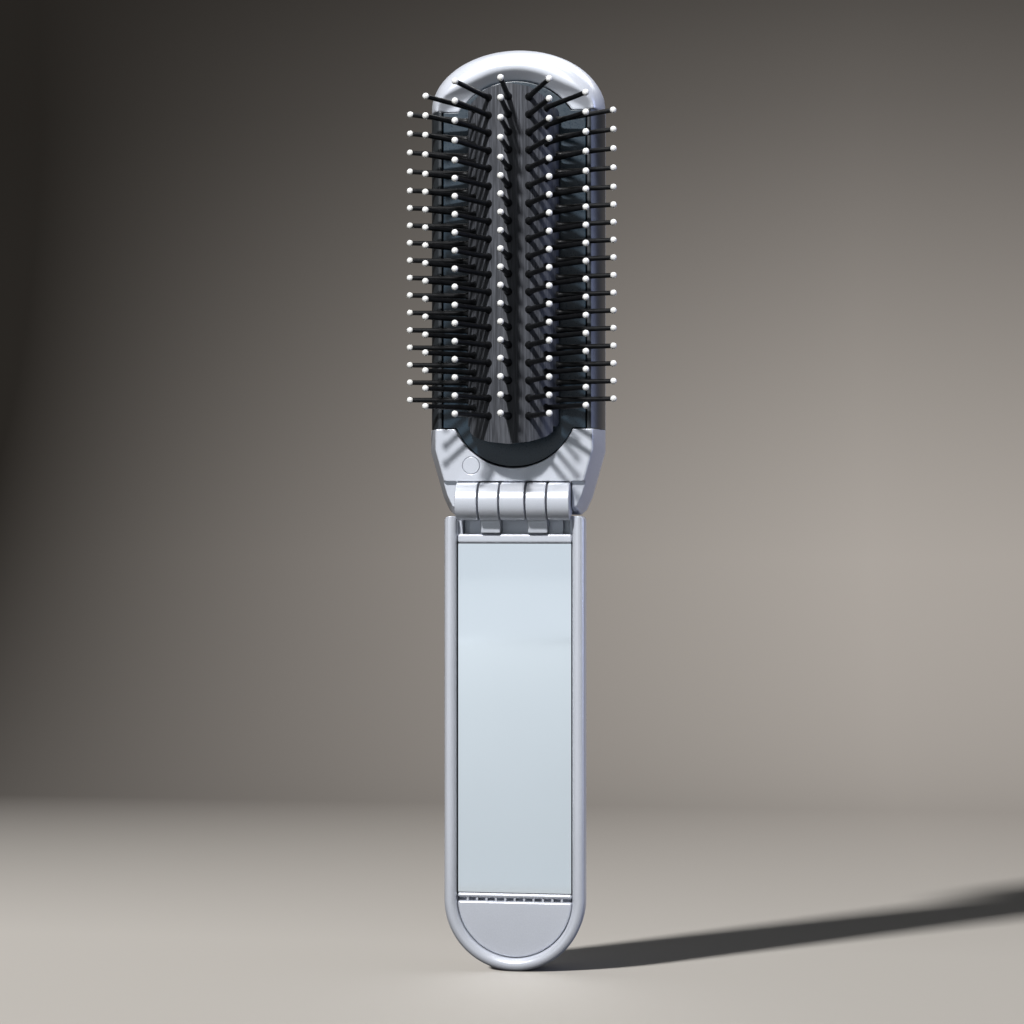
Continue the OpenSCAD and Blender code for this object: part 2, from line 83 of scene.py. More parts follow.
def row_node(kind, row):
    """Name of the stave's or tips' node on a row, counted from the middle."""
    if row == 0:
        return kind + "_mid"
    return "%s_%s_%d" % (kind, "right" if row > 0 else "left", abs(row))


# ---- Sizes and colours that a user would change ----


class BrushSizes(bpy.types.PropertyGroup):
    """Sizes of the hairbrush's dressed pieces."""

    edge: bpy.props.FloatProperty(
        name="Edge softness",
        description="Radius of the softened edges on the silver mouldings",
        default=0.00025, min=0.00005, max=0.0006, unit="LENGTH",
    )
    ear_step: bpy.props.FloatProperty(
        name="Ear step",
        description="How far the ears beside the knuckles stand behind the block's front",
        default=0.0012, min=0.0003, max=0.002, unit="LENGTH",
    )
    tray_travel: bpy.props.FloatProperty(
        name="Tray travel",
        description="How far the lift tray sinks into the head as the brush closes",
        default=0.0132, min=0.005, max=0.014, unit="LENGTH",
    )
    groove_low: bpy.props.FloatProperty(
        name="Groove height",
        description="Height of the lower edge of the groove below the mirror",
        default=0.0151, min=0.012, max=0.02, unit="LENGTH",
    )
    rib_width: bpy.props.FloatProperty(
        name="Rib width",
        description="Width of each small rib in that groove",
        default=0.0005, min=0.0002, max=0.001, unit="LENGTH",
    )
    rib_count: bpy.props.IntProperty(
        name="Ribs", description="Number of small ribs in that groove", default=11, min=2, max=20,
    )
    bead_voxel: bpy.props.FloatProperty(
        name="Cap fineness",
        description="Cell size that the end cap's soft bead is formed with",
        default=0.0003, min=0.0002, max=0.001, unit="LENGTH",
    )
    dome_radius: bpy.props.FloatProperty(
        name="Bed radius",
        description="Outer radius of the arched bristle bed",
        default=0.010, min=0.009, max=0.011, unit="LENGTH",
    )
    dome_depth: bpy.props.FloatProperty(
        name="Bed centre depth",
        description="Depth of the arched bed's axis behind the hinge axis",
        default=0.0005, min=0.0, max=0.002, unit="LENGTH",
    )
    stave_turn: bpy.props.FloatProperty(
        name="Stave turn",
        description="Angle that one stave of the bed spans",
        default=math.radians(26), min=math.radians(20), max=math.radians(28), subtype="ANGLE",
    )
    stave_thickness: bpy.props.FloatProperty(
        name="Stave thickness",
        description="Wall of the rubber bed",
        default=0.0014, min=0.0008, max=0.002, unit="LENGTH",
    )
    pin_length: bpy.props.FloatProperty(
        name="Pin length",
        description="From the middle of the stave's wall to the centre of the ball tip",
        default=0.0134, min=0.009, max=0.014, unit="LENGTH",
    )
    pin_width: bpy.props.FloatProperty(
        name="Pin width",
        description="Diameter of a bristle pin halfway up",
        default=0.00112, min=0.0006, max=0.0014, unit="LENGTH",
    )
    pin_foot: bpy.props.FloatProperty(
        name="Pin foot width",
        description="Diameter of the flare at a pin's root",
        default=0.0021, min=0.001, max=0.003, unit="LENGTH",
    )
    pitch: bpy.props.FloatProperty(
        name="Pin pitch",
        description="Spacing of the pins along a row",
        default=0.0038, min=0.003, max=0.005, unit="LENGTH",
    )
    top_lean: bpy.props.FloatProperty(
        name="Top lean",
        description="Upward lean added to each of the last four pins of a row",
        default=math.radians(1.5), min=0.0, max=math.radians(3), subtype="ANGLE",
    )
    row_tilt: bpy.props.FloatProperty(
        name="Row tilt",
        description="Inward turn of the pins on the second rows from the edge",
        default=math.radians(5), min=0.0, max=math.radians(8), subtype="ANGLE",
    )
    ball: bpy.props.FloatProperty(
        name="Ball tip",
        description="Diameter of the ball tips",
        default=0.00145, min=0.001, max=0.002, unit="LENGTH",
    )


class BrushColours(bpy.types.PropertyGroup):
    """Colours of the hairbrush's finishes."""

    silver: bpy.props.FloatVectorProperty(
        name="Silver", description="Satin silver plastic of the shells",
        subtype="COLOR", size=3, default=(0.67, 0.695, 0.755), min=0, max=1,
    )
    black: bpy.props.FloatVectorProperty(
        name="Black", description="Satin black plastic of the side rails",
        subtype="COLOR", size=3, default=(0.020, 0.023, 0.026), min=0, max=1,
    )
    tray: bpy.props.FloatVectorProperty(
        name="Slate", description="Slate black of the lift tray",
        subtype="COLOR", size=3, default=(0.011, 0.024, 0.037), min=0, max=1,
    )
    rubber: bpy.props.FloatVectorProperty(
        name="Rubber", description="Black of the flexible bed and its pins",
        subtype="COLOR", size=3, default=(0.044, 0.046, 0.052), min=0, max=1,
    )
    tips: bpy.props.FloatVectorProperty(
        name="Tips", description="White of the ball tips",
        subtype="COLOR", size=3, default=(0.86, 0.86, 0.85), min=0, max=1,
    )
    mirror: bpy.props.FloatVectorProperty(
        name="Mirror", description="Tint of the mirror",
        subtype="COLOR", size=3, default=(0.92, 0.95, 0.97), min=0, max=1,
    )
    steel: bpy.props.FloatVectorProperty(
        name="Steel", description="Plain steel of screws, pin and springs",
        subtype="COLOR", size=3, default=(0.58, 0.58, 0.60), min=0, max=1,
    )
    pad: bpy.props.FloatVectorProperty(
        name="Pad", description="Foam pad behind the mirror",
        subtype="COLOR", size=3, default=(0.80, 0.79, 0.74), min=0, max=1,
    )


def sizes():
    return bpy.context.scene.brush_sizes


def colour(name):
    return (*getattr(bpy.context.scene.brush_colours, name), 1.0)


def shade(tint, amount):
    """The colour made darker or paler by that amount."""
    return (*(part * amount for part in tint[:3]), 1.0)


# ---- Shader maths ----


class Value:
    """A node's output, with arithmetic that adds Math nodes."""

    def __init__(self, net, socket):
        self.net, self.socket = net, socket

    def math(self, operation, *others):
        return self.net.add(
            "ShaderNodeMath", {"operation": operation}, dict(enumerate((self, *others)))
        )

    def __add__(self, other):
        return self.math("ADD", other)

    def __mul__(self, other):
        return self.math("MULTIPLY", other)

    def __sub__(self, other):
        return self.math("SUBTRACT", other)

    def __rsub__(self, other):
        return self.net.add("ShaderNodeMath", {"operation": "SUBTRACT"}, {0: other, 1: self})

    __radd__ = __add__
    __rmul__ = __mul__

    def clamp(self, low, high, to_low=0.0, to_high=1.0):
        """This value from low to high, as to_low to to_high, held inside them."""
        return self.net.add(
            "ShaderNodeMapRange", {"clamp": True},
            {"Value": self, "From Min": low, "From Max": high,
             "To Min": to_low, "To Max": to_high},
        )


class Net:
    """The nodes of one material or of the world."""

    def __init__(self, tree):
        self.tree = tree
        tree.nodes.clear()

    def add(self, kind, settings=None, inputs=None, output=0):
        """A node of that kind: its settings first, then the values or links of its inputs."""
        node = self.tree.nodes.new(kind)
        for key, value in (settings or {}).items():
            setattr(node, key, value)
        for key, value in (inputs or {}).items():
            if isinstance(value, Value):
                self.tree.links.new(value.socket, node.inputs[key])
            else:
                node.inputs[key].default_value = value
        return Value(self, node.outputs[output]) if node.outputs else node

    def mix(self, factor, a, b):
        """Colour a where factor is 0 and b where it is 1."""
        return self.add("ShaderNodeMix", {"data_type": "RGBA"}, {0: factor, 6: a, 7: b}, 2)

    def place(self, stretch=(1, 1, 1)):
        """The point on the piece, with a stretch along each axis."""
        point = self.add("ShaderNodeTexCoord", output="Object")
        return self.add("ShaderNodeMapping", {}, {"Vector": point, "Scale": stretch})

    def axis(self, name):
        """One coordinate of the point on the piece, in metres."""
        return self.add("ShaderNodeSeparateXYZ", {}, {"Vector": self.place()}, name)

    def noise(self, scale, detail=2.0, roughness=0.5, stretch=(1, 1, 1)):
        return self.add(
            "ShaderNodeTexNoise", {},
            {"Vector": self.place(stretch), "Scale": scale,
             "Detail": detail, "Roughness": roughness},
        )

    def looked_at(self, *rays):
        """1 for the named kinds of ray, such as Is Camera Ray, and 0 for the rest."""
        path = [self.add("ShaderNodeLightPath", output=ray) for ray in rays]
        chosen = path[0]
        for other in path[1:]:
            chosen = chosen.math("MAXIMUM", other)
        return chosen

    def bump(self, height, distance, strength):
        return self.add(
            "ShaderNodeBump", {},
            {"Height": height, "Distance": distance, "Strength": strength}, "Normal",
        )

    def surface(self, **sockets):
        """A Principled surface; a socket's spaces are written as underscores."""
        inputs = {key.replace("_", " "): value for key, value in sockets.items()}
        shader = self.add("ShaderNodeBsdfPrincipled", {}, inputs)
        self.add("ShaderNodeOutputMaterial", {}, {"Surface": shader})


MATERIALS = {}


def material(name):
    """The finish of that name, made on first use."""
    if name not in MATERIALS:
        made = bpy.data.materials.new(name)
        made.use_nodes = True
        FINISHES[name](Net(made.node_tree))
        MATERIALS[name] = made
    return MATERIALS[name]


def satin_silver(net):
    tint = colour("silver")
    deep = shade(tint, 0.85)
    pale = shade(tint, 1.05)
    flake = net.noise(5200, 1.0)
    cloud = net.noise(60, 2.0)
    net.surface(
        Base_Color=net.mix((flake * 0.6 + cloud * 0.4).clamp(0.1, 0.9), deep, pale),
        Metallic=0.19,
        Roughness=cloud.clamp(0.1, 0.9, 0.25, 0.37),
        Normal=net.bump(flake, 0.000004, 0.5),
    )


def satin_black(net):
    tint = colour("black")
    pale = shade(tint, 1.5)
    grain = net.noise(3800, 2.0)
    net.surface(
        Base_Color=net.mix(grain.clamp(0.35, 0.65), tint, pale),
        Roughness=net.noise(90, 2.0).clamp(0.1, 0.9, 0.28, 0.44),
        Normal=net.bump(grain, 0.000006, 0.6),
    )


def slate_black(net):
    tint = colour("tray")
    pale = shade(tint, 1.3)
    net.surface(
        Base_Color=net.mix(net.noise(120, 2.0).clamp(0.1, 0.9), tint, pale),
        Roughness=net.noise(2400, 1.0).clamp(0.3, 0.7, 0.26, 0.34),
        Normal=net.bump(net.noise(2600, 1.0), 0.000004, 0.4),
    )


def bed_rubber(net):
    tint = colour("rubber")
    pale = shade(tint, 2.4)
    grain = net.noise(2600, 3.0, 0.6, (1, 1, 0.05))
    net.surface(
        Base_Color=net.mix(grain.clamp(0.4, 0.7), tint, pale),
        Roughness=grain.clamp(0.3, 0.7, 0.36, 0.52),
        Specular_IOR_Level=0.2,
        Normal=net.bump(grain, 0.00003, 0.6),
    )


def pin_nylon(net):
    tint = shade(colour("rubber"), 0.16)
    pale = shade(tint, 0.5)
    net.surface(
        Base_Color=net.mix(net.noise(900, 2.0).clamp(0.35, 0.65), tint, pale),
        Roughness=net.noise(1500, 1.0).clamp(0.3, 0.7, 0.32, 0.46),
        Specular_IOR_Level=0.16,
        Normal=net.bump(net.noise(4000, 1.0), 0.000004, 0.4),
    )


def white_ball(net):
    tint = colour("tips")
    warm = (tint[0] * 0.96, tint[1] * 0.95, tint[2] * 0.92, 1.0)
    net.surface(
        Base_Color=net.mix(net.noise(700, 1.0).clamp(0.35, 0.65), tint, warm),
        Roughness=net.noise(1200, 1.0).clamp(0.3, 0.7, 0.22, 0.34),
        Coat_Weight=0.2,
    )


def mirror_face(net):
    tint = colour("mirror")
    haze = shade(tint, 0.97)
    net.surface(
        Base_Color=net.mix(net.noise(30, 2.0).clamp(0.3, 0.7), tint, haze),
        Metallic=1.0,
        Roughness=net.noise(45, 2.0).clamp(0.3, 0.7, 0.03, 0.06),
    )


def plain_steel(net):
    tint = colour("steel")
    dark = shade(tint, 0.75)
    brushed = net.noise(1800, 2.0, 0.6, (1, 0.1, 1))
    net.surface(
        Base_Color=net.mix(brushed.clamp(0.35, 0.7), dark, tint),
        Metallic=1.0,
        Roughness=brushed.clamp(0.3, 0.7, 0.25, 0.4),
        Normal=net.bump(brushed, 0.000005, 0.5),
    )


def foam_pad(net):
    tint = colour("pad")
    dark = shade(tint, 0.8)
    cells = net.noise(3000, 3.0, 0.7)
    net.surface(
        Base_Color=net.mix(cells.clamp(0.35, 0.65), dark, tint),
        Roughness=0.9,
        Normal=net.bump(cells, 0.00003, 0.8),
    )


def backdrop_paint(net):
    """Warm grey wall with painted shade, darker to the left and at the top, that runs into a pale
    floor.
    """
    across, along, up = net.axis("X"), net.axis("Y"), net.axis("Z")
    # The wall's dark left side and top are painted shade, and its paler right side is painted light
    painted_wall_shade, painted_wall_light = (0.012, 0.010, 0.008, 1), (0.42, 0.39, 0.365, 1)
    floor = (0.59, 0.565, 0.535, 1)
    wall = net.mix(across.clamp(-0.31, 0.10), painted_wall_shade, painted_wall_light)
    wall = net.mix(up.clamp(0.08, 0.42), wall, painted_wall_shade)
    plain = net.mix(along.clamp(0.03, 0.26), floor, wall)

    # What the shiny pieces see of the floor is a painted reflection: dark behind the card lamp,
    # bluish in front of it, and painted shade right under the brush
    far, near, painted_shade_below = (0.080, 0.087, 0.093, 1), (0.65, 0.72, 0.79, 1), (0.05, 0.05, 0.055, 1)
    card = net.mix(along.clamp(-1.16, -1.12), far, near)
    shiny = net.looked_at("Is Glossy Ray", "Is Transmission Ray")
    shown = net.mix(shiny * (1 - along.clamp(-0.10, -0.05)), plain, card)
    below = along.clamp(-0.08, -0.05) * (1 - along.clamp(0.02, 0.10))
    shown = net.mix(shiny * below, shown, painted_shade_below)

    # Light that bounces off the floor onto the brush stays low
    bounce = (0.12, 0.12, 0.12, 1)
    seen = net.looked_at("Is Camera Ray", "Is Glossy Ray", "Is Transmission Ray")
    net.surface(
        Base_Color=net.mix(seen, bounce, shown),
        Roughness=0.8,
        Specular_IOR_Level=0.1,
    )


FINISHES = {
    "satin_silver": satin_silver,
    "satin_black": satin_black,
    "slate_black": slate_black,
    "bed_rubber": bed_rubber,
    "pin_nylon": pin_nylon,
    "white_ball": white_ball,
    "mirror_face": mirror_face,
    "plain_steel": plain_steel,
    "foam_pad": foam_pad,
    "backdrop_paint": backdrop_paint,
}

# ---- Modelling helpers ----


def activate(piece):
    bpy.ops.object.select_all(action="DESELECT")
    piece.select_set(True)
    bpy.context.view_layer.objects.active = piece


def edit(piece, mode="FACE"):
    activate(piece)
    bpy.ops.object.mode_set(mode="EDIT")
    bpy.context.tool_settings.mesh_select_mode = (mode == "VERT", mode == "EDGE", mode == "FACE")
    bpy.ops.mesh.select_all(action="SELECT")


def leave():
    bpy.ops.object.mode_set(mode="OBJECT")


def pick(piece, test, kind="faces"):
    """Select, in edit mode, the faces, edges or vertices whose middle passes the test."""
    mesh = bmesh.from_edit_mesh(piece.data)
    bpy.ops.mesh.select_all(action="DESELECT")
    for part in getattr(mesh, kind):
        if kind == "verts":
            middle = part.co
        elif kind == "edges":
            middle = (part.verts[0].co + part.verts[1].co) / 2
        else:
            middle = part.calc_center_median()
        if test(middle, part):
            part.select = True
    mesh.select_flush_mode()
    bmesh.update_edit_mesh(piece.data)


def modify(piece, kind, **settings):
    activate(piece)
    modifier = piece.modifiers.new(kind.lower(), kind)
    for key, value in settings.items():
        setattr(modifier, key, value)
    bpy.ops.object.modifier_apply(modifier=modifier.name)


def set_in_place(piece):
    activate(piece)
    bpy.ops.object.transform_apply(location=True, rotation=True, scale=True)


def soften(piece, angle=38):
    activate(piece)
    bpy.ops.object.shade_smooth_by_angle(angle=math.radians(angle))


def started(name):
    """The object that the last primitive made, under its piece's name."""
    piece = bpy.context.object
    piece.name = piece.data.name = name
    return piece


def node_copy(node, name):
    """A copy of a solid with its loose triangles joined into clean faces."""
    bpy.ops.object.select_all(action="DESELECT")
    piece = bpy.data.objects.new(name, NODES[node].data.copy())
    bpy.context.collection.objects.link(piece)
    piece.data.name = name
    activate(piece)
    if piece.data.has_custom_normals:
        bpy.ops.mesh.customdata_custom_splitnormals_clear()
    edit(piece, "VERT")
    bpy.ops.mesh.remove_doubles(threshold=WELD)
    bpy.ops.mesh.dissolve_limited(angle_limit=math.radians(0.3))
    leave()
    return piece


def round_over(piece, width, segments=2):
    """Round the piece's sharp edges over."""
    modify(piece, "BEVEL", width=width, segments=segments, limit_method="ANGLE",
           angle_limit=math.radians(35), use_clamp_overlap=False, miter_outer="MITER_ARC")
    soften(piece, 40)
    modify(piece, "WEIGHTED_NORMAL", keep_sharp=True)
    return piece


def rounded(node, name, width, segments=2):
    """A copy of a solid with its sharp edges rounded over."""
    return round_over(node_copy(node, name), width, segments)


def cut_box(piece, low, high):
    """Cut the box between two corners out of the piece."""
    low, high = Vector(low), Vector(high)
    bpy.ops.object.select_all(action="DESELECT")
    bpy.ops.mesh.primitive_cube_add(size=1, location=(low + high) / 2, scale=high - low)
    box = started("cut_box")
    set_in_place(box)
    modify(piece, "BOOLEAN", operation="DIFFERENCE", object=box, solver="EXACT")
    discard(box)


def dress(piece, finish):
    piece.data.materials.clear()
    piece.data.materials.append(material(finish))


def stand_for(piece, node, finish):
    """The piece takes the node's place and body, and is given the finish."""
    dress(piece, finish)
    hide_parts(node)
    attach(piece, BODY_OF[node])


def keep_node(node, finish):
    dress(NODES[node], finish)


def join(pieces, name):
    """One object of several; the first is the one that stays."""
    bpy.ops.object.select_all(action="DESELECT")
    for piece in pieces:
        piece.select_set(True)
    bpy.context.view_layer.objects.active = pieces[0]
    bpy.ops.object.join()
    pieces[0].name = pieces[0].data.name = name
    return pieces[0]


def copies(master, places):
    """One copy of the master, with its own mesh, at each of the places."""
    made = []
    for place in places:
        twin = master.copy()
        twin.data = master.data.copy()
        twin.data.transform(place)
        bpy.context.collection.objects.link(twin)
        made.append(twin)
    return made


def discard(*pieces):
    for piece in pieces:
        bpy.data.objects.remove(piece, do_unlink=True)


# ---- Where the bed's rows and pins lie ----


def dome_axis_y():
    return FOLD.y + sizes().dome_depth


def pin_places(row):
    """A matrix for each pin of a row: its root at the origin and the pin along +Z."""
    s = sizes()
    low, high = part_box("stave_mid")[0].z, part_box("stave_mid")[1].z
    middle = (low + high) / 2 + ROW_RISE
    count = PINS[abs(row)]
    axis = Matrix.Translation((0, dome_axis_y(), 0))
    swing = axis @ Matrix.Rotation(row * s.stave_turn, 4, "Z")
    tilt = -math.copysign(s.row_tilt, row) if abs(row) == 2 else 0.0
    places = []
    for i in range(count):
        height = middle + (i - (count - 1) / 2) * s.pitch
        lean = max(0, i - (count - 5)) * s.top_lean
        root = Matrix.Translation((0, s.stave_thickness / 2 - s.dome_radius, height))
        turn = Matrix.Rotation(tilt, 4, "Z") @ Matrix.Rotation(math.pi / 2 - lean, 4, "X")
        places.append(swing @ root @ turn)
    return places


# ---- Pieces ----


class BRUSH_OT_handle(bpy.types.Operator):
    """Make the handle's shell and the hinge leaf that is screwed into it"""

    bl_idname = "brush.handle"
    bl_label = "Handle shell and hinge leaf"

    def execute(self, context):
        shell = rounded("handle_shell", "handle_shell_moulding", sizes().edge)
        stand_for(shell, "handle_shell", "satin_silver")
        leaf = rounded("hinge_leaf", "hinge_leaf_moulding", sizes().edge)
        stand_for(leaf, "hinge_leaf", "satin_silver")
        return {"FINISHED"}


def groove_ribs():
    """Short ribs that bridge the groove between the thumb plate and the mirror's lower bar."""
    s = sizes()
    front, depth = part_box("mirror_frame")[0].y + 0.0003, 0.0008
    low, high = s.groove_low - 0.0001, s.groove_low + 0.0008
    bpy.ops.object.select_all(action="DESELECT")
    bpy.ops.mesh.primitive_cube_add(size=1, location=(0, front + depth / 2, (low + high) / 2),
                                    scale=(s.rib_width, depth, high - low))
    rib = started("groove_rib")
    set_in_place(rib)
    modify(rib, "BEVEL", width=0.00008, segments=2, limit_method="ANGLE")
    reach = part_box("mirror_glass")[1].x
    step = 2 * reach / (s.rib_count + 1)
    places = [Matrix.Translation((step * (i + 1) - reach, 0, 0)) for i in range(s.rib_count)]
    ribs = copies(rib, places)
    discard(rib)
    return ribs


class BRUSH_OT_mirror(bpy.types.Operator):
    """Make the mirror, its frame with bars and thumb plate, and the pad behind the glass"""

    bl_idname = "brush.mirror"
    bl_label = "Mirror and frame"

    def execute(self, context):
        holder = rounded("mirror_frame", "mirror_frame_moulding", sizes().edge * 2.0, 3)
        holder = join([holder, *groove_ribs()], "mirror_frame_moulding")
        stand_for(holder, "mirror_frame", "satin_silver")
        glass = node_copy("mirror_glass", "mirror_plate")
        soften(glass)
        stand_for(glass, "mirror_glass", "mirror_face")
        keep_node("mirror_tape", "foam_pad")
        return {"FINISHED"}


class BRUSH_OT_hinge(bpy.types.Operator):
    """Make the hinge block with its knuckles, the hinge pin and the plugged screw"""

    bl_idname = "brush.hinge"
    bl_label = "Hinge block"

    def execute(self, context):
        block = node_copy("hinge_block", "hinge_block_moulding")
        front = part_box("screw_plug")[0].y
        ear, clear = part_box("hinge_pin")[1].x + 0.0009, 0.03
        step_back, ear_low, ear_top = front + sizes().ear_step, 0.09, FOLD.z + 0.00445
        for side in (-1, 1):
            left, right = sorted((side * ear, side * clear))
            cut_box(block, (left, -clear, ear_low), (right, step_back, ear_top))
        round_over(block, sizes().edge)
        stand_for(block, "hinge_block", "satin_silver")
        plug = rounded("screw_plug", "plug_disc", sizes().edge * 0.5)
        stand_for(plug, "screw_plug", "satin_silver")
        keep_node("hinge_pin", "plain_steel")
        keep_node("block_screw", "plain_steel")
        return {"FINISHED"}


class BRUSH_OT_head(bpy.types.Operator):
    """Make the head's silver back and its black side rails"""

    bl_idname = "brush.head"
    bl_label = "Head back and rails"

    def execute(self, context):
        back = rounded("head_back", "head_back_moulding", sizes().edge * 0.6)
        stand_for(back, "head_back", "satin_silver")
        rails = rounded("bed_frame", "rail_moulding", sizes().edge)
        stand_for(rails, "bed_frame", "satin_black")
        return {"FINISHED"}


class BRUSH_OT_cap(bpy.types.Operator):
    """Make the silver end cap with its soft bead round the top"""

    bl_idname = "brush.cap"
    bl_label = "End cap"

    def execute(self, context):
        cap = node_copy("end_cap", "end_cap_moulding")
        modify(cap, "REMESH", mode="VOXEL", voxel_size=sizes().bead_voxel, use_smooth_shade=True)
        modify(cap, "SMOOTH", factor=0.5, iterations=8)
        soften(cap, 50)
        stand_for(cap, "end_cap", "satin_silver")
        return {"FINISHED"}


class BRUSH_OT_tray(bpy.types.Operator):
    """Make the lift tray under the bed and finish its two springs"""

    bl_idname = "brush.tray"
    bl_label = "Lift tray and springs"

    def execute(self, context):
        tray = rounded("lift_tray", "lift_tray_moulding", sizes().edge * 0.8)
        stand_for(tray, "lift_tray", "slate_black")
        springs = node_copy("lift_springs", "lift_springs_wire")
        soften(springs, 70)
        stand_for(springs, "lift_springs", "plain_steel")
        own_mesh(springs)
        return {"FINISHED"}


def pin_master():
    """One tapered pin on a flared foot, its root at the origin and its length along +Z."""
    s = sizes()
    reach = s.pin_length - s.ball * NECK
    wall = s.stave_thickness / 2
    sunk = wall - 0.0003
    foot, waist = s.pin_foot / 2, s.pin_width / 2
    rings = [
        (wall + 0.00025, foot * 0.74),
        (wall + 0.0006, foot * 0.60),
        (wall + 0.0013, waist * 1.06),
        (wall + 0.0055, waist),
        (reach, waist * 0.92),
    ]
    bpy.ops.object.select_all(action="DESELECT")
    bpy.ops.mesh.primitive_circle_add(vertices=10, radius=foot, fill_type="NGON",
                                      location=(0, 0, sunk))
    pin = started("pin_master")
    set_in_place(pin)
    edit(pin)
    height, radius = sunk, foot
    for z, r in rings:
        bpy.ops.mesh.extrude_region_move(TRANSFORM_OT_translate={"value": (0, 0, z - height)})
        bpy.ops.transform.resize(value=(r / radius, r / radius, 1), center_override=(0, 0, z))
        height, radius = z, r
    bpy.ops.mesh.select_all(action="SELECT")
    bpy.ops.mesh.normals_make_consistent(inside=False)
    leave()
    soften(pin, 50)
    return pin


def end_curve(steps, turn, angle):
    """How far the bed's end stands in at an angle, between the steps of the staves."""
    place = min(abs(angle) / turn, len(steps) - 1.0)
    i = min(int(place), len(steps) - 2)
    t = place - i
    return steps[i] * (1 - t) + steps[i + 1] * t


def stave_strip(row, name):
    """One stave of the arched bed: a flat section swung round the bed's axis."""
    s = sizes()
    low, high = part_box("stave_mid")[0].z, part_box("stave_mid")[1].z
    gap = math.radians(0.03)
    start = row * s.stave_turn - s.stave_turn / 2 + gap
    turn = s.stave_turn - 2 * gap
    middle = Vector((0, dome_axis_y() - s.dome_radius + s.stave_thickness / 2, (low + high) / 2))
    bpy.ops.object.select_all(action="DESELECT")
    bpy.ops.mesh.primitive_plane_add(size=1, location=middle, rotation=(0, math.pi / 2, 0))
    strip = started(name)
    strip.scale = (high - low, s.stave_thickness, 1)
    set_in_place(strip)
    axis = Vector((0, dome_axis_y(), 0))
    strip.data.transform(
        Matrix.Translation(axis) @ Matrix.Rotation(start, 4, "Z") @ Matrix.Translation(-axis)
    )
    edit(strip)
    bpy.ops.mesh.spin(steps=16, angle=-turn, center=axis, axis=(0, 0, 1))
    mesh = bmesh.from_edit_mesh(strip.data)
    ends = [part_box(row_node("stave", k)) for k in range(4)]
    lows = [box[0].z - low for box in ends]
    highs = [high - box[1].z for box in ends]
    lows.append(2 * lows[3] - lows[2])
    highs.append(2 * highs[3] - highs[2])
    # The outer staves pass the hinge block as the bed flattens, so they stay inside their solids
    lowest, highest = (ends[3][0].z, ends[3][1].z) if abs(row) == 3 else (low, high)
    for vert in mesh.verts:
        angle = math.atan2(vert.co.x, -(vert.co.y - axis.y))
        if vert.co.z < (low + high) / 2:
            vert.co.z = max(lowest, low + end_curve(lows, s.stave_turn, angle))
        else:
            vert.co.z = min(highest, high - end_curve(highs, s.stave_turn, angle))
    bmesh.update_edit_mesh(strip.data)
    bpy.ops.mesh.select_all(action="SELECT")
    bpy.ops.mesh.remove_doubles(threshold=WELD)
    bpy.ops.mesh.normals_make_consistent(inside=False)
    leave()
    soften(strip, 40)
    return strip


class BRUSH_OT_bed(bpy.types.Operator):
    """Make the seven staves of the rubber bed with their rows of pins"""

    bl_idname = "brush.bed"
    bl_label = "Bristle bed"

    def execute(self, context):
        pin = pin_master()
        dress(pin, "pin_nylon")
        for row in ROWS:
            node = row_node("stave", row)
            strip = stave_strip(row, node + "_moulding")
            dress(strip, "bed_rubber")
            bed = join([strip, *copies(pin, pin_places(row))], node + "_moulding")
            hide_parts(node)
            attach(bed, BODY_OF[node])
        discard(pin)
        return {"FINISHED"}


class BRUSH_OT_tips(bpy.types.Operator):
    """Make the white ball tips that sit on the pins"""

    bl_idname = "brush.tips"
    bl_label = "Ball tips"

    def execute(self, context):
        s = sizes()
        bpy.ops.object.select_all(action="DESELECT")
        bpy.ops.mesh.primitive_uv_sphere_add(segments=12, ring_count=8, radius=s.ball / 2,
                                             location=(0, 0, s.pin_length))
        ball = started("ball_master")
        set_in_place(ball)
        edit(ball, "VERT")
        neck = s.pin_length - s.ball * NECK
        pick(ball, lambda c, v: c.z < neck, "verts")
        bpy.ops.transform.resize(value=(1.25, 1.25, 1), center_override=(0, 0, neck))
        bpy.ops.transform.translate(value=(0, 0, s.ball * 0.04))
        leave()
        soften(ball, 60)
        dress(ball, "white_ball")
        for row in ROWS:
            node = row_node("tips", row)
            balls = join(copies(ball, pin_places(row)), node + "_balls")
            stand_for(balls, node, "white_ball")
        discard(ball)
        return {"FINISHED"}


def screw_master(head_width, head_height, shank_width, length):
    """A pan-head screw with a cross recess: head at y 0, shank along -Y."""
    bpy.ops.object.select_all(action="DESELECT")
    bpy.ops.mesh.primitive_cylinder_add(
        vertices=32, radius=head_width / 2, depth=head_height,
        location=(0, -head_height / 2, 0), rotation=(math.pi / 2, 0, 0),
    )
    screw = started("screw_master")
    set_in_place(screw)
    edit(screw)
    pick(screw, lambda c, f: c.y > -0.0001 and abs(f.normal.y) > 0.9)
    bpy.ops.mesh.bevel(offset=head_width * 0.1, segments=3, affect="EDGES")
    pick(screw, lambda c, f: c.y < -head_height + 0.0001 and abs(f.normal.y) > 0.9)
    bpy.ops.mesh.inset(thickness=(head_width - shank_width) / 2)
    bpy.ops.mesh.extrude_region_move(TRANSFORM_OT_translate={"value": (0, head_height - length, 0)})
    bpy.ops.transform.resize(value=(0.6, 1, 0.6), center_override=(0, -length, 0))
    leave()
    arms = []
    for turn in (0, math.pi / 2):
        bpy.ops.object.select_all(action="DESELECT")
        bpy.ops.mesh.primitive_cube_add(
            size=1, location=(0, 0, 0), rotation=(0, turn, 0),
            scale=(head_width * 0.58, head_height * 1.2, head_width * 0.15),
        )
        arm = started("recess_arm")
        set_in_place(arm)
        arms.append(arm)
    for arm in arms:
        modify(screw, "BOOLEAN", operation="DIFFERENCE", object=arm, solver="EXACT")
    discard(*arms)
    soften(screw, 35)
    return screw


